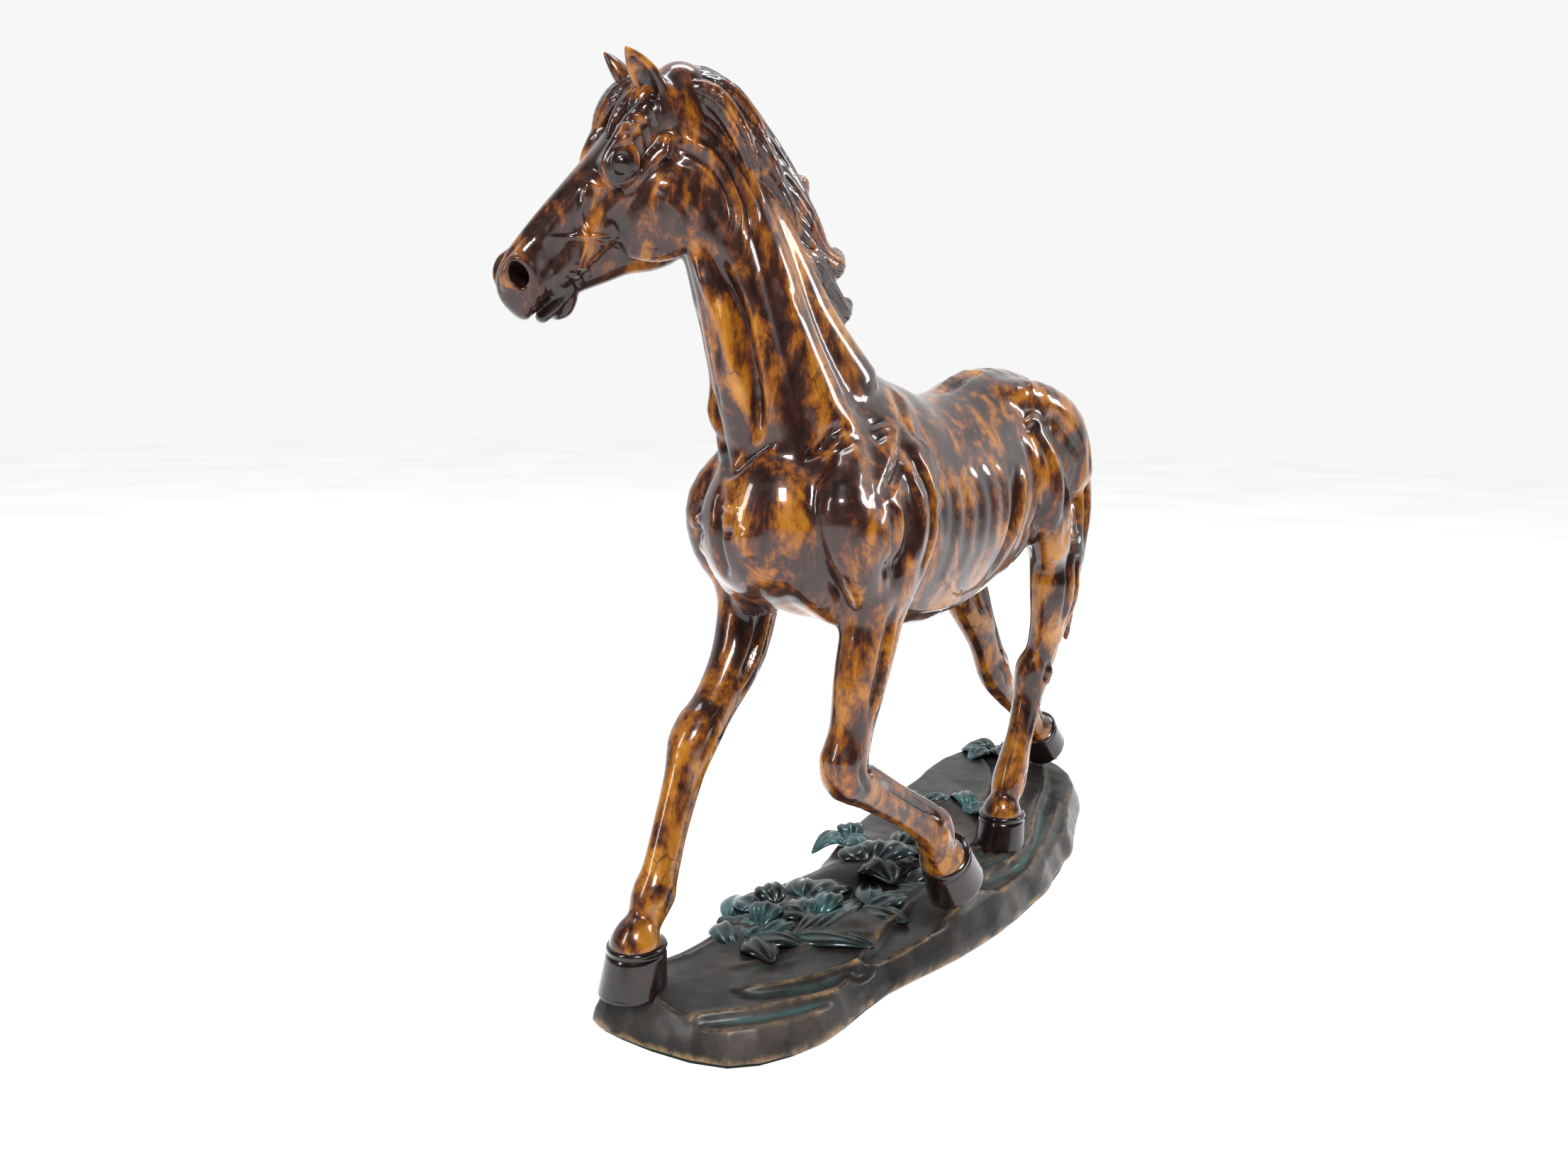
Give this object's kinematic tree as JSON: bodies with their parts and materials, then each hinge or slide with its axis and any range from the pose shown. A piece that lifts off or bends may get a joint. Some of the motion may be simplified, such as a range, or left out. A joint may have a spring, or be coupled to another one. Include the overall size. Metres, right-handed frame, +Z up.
{
  "type": "horse statuette",
  "caption": "Trotting horse statuette in patinated bronze, head turned, mane blowing back, on a low cast rock base with leaf clumps and a felt pad.",
  "frame": {"origin": "on the resting face of the felt pad, below the middle of the horse's barrel", "axes": "+Z up, the horse faces -X, its left side is towards -Y, the base runs along X"},
  "size_m": [0.4662, 0.1551, 0.4016],
  "materials": {
    "body_patina": "high-gloss lacquered bronze, golden orange with dark brown blotches",
    "hair_patina": "high-gloss lacquered bronze, dark brown with golden rubbed ridges",
    "hoof_patina": "glossy black-brown patina",
    "base_patina": "satin charcoal patina with gold rubbed edges and pale green touches",
    "verdigris": "satin dark green-blue verdigris over charcoal bronze",
    "steel_fixings": "plain zinc-plated steel",
    "felt": "pressed dark green wool felt"
  },
  "bodies": {
    "root": {"felt_pad": "felt", "base_casting": "base_patina", "foliage_front": "verdigris", "foliage_middle": "verdigris", "foliage_rear": "verdigris", "torso": "body_patina", "neck": "body_patina", "head": "body_patina", "mane": "hair_patina", "forelock": "hair_patina", "tail": "hair_patina", "left_foreleg": "body_patina", "right_foreleg": "body_patina", "left_hind_leg": "body_patina", "right_hind_leg": "body_patina", "left_fore_hoof": "hoof_patina", "right_fore_hoof": "hoof_patina", "left_hind_hoof": "hoof_patina", "right_hind_hoof": "hoof_patina", "mounting_studs": "steel_fixings", "stud_washers": "steel_fixings", "stud_nuts": "steel_fixings", "leg_dowels": "steel_fixings", "neck_dowels": "steel_fixings", "head_dowels": "steel_fixings", "tail_dowel": "steel_fixings", "core_plugs": "body_patina"}
  },
  "joints": []
}
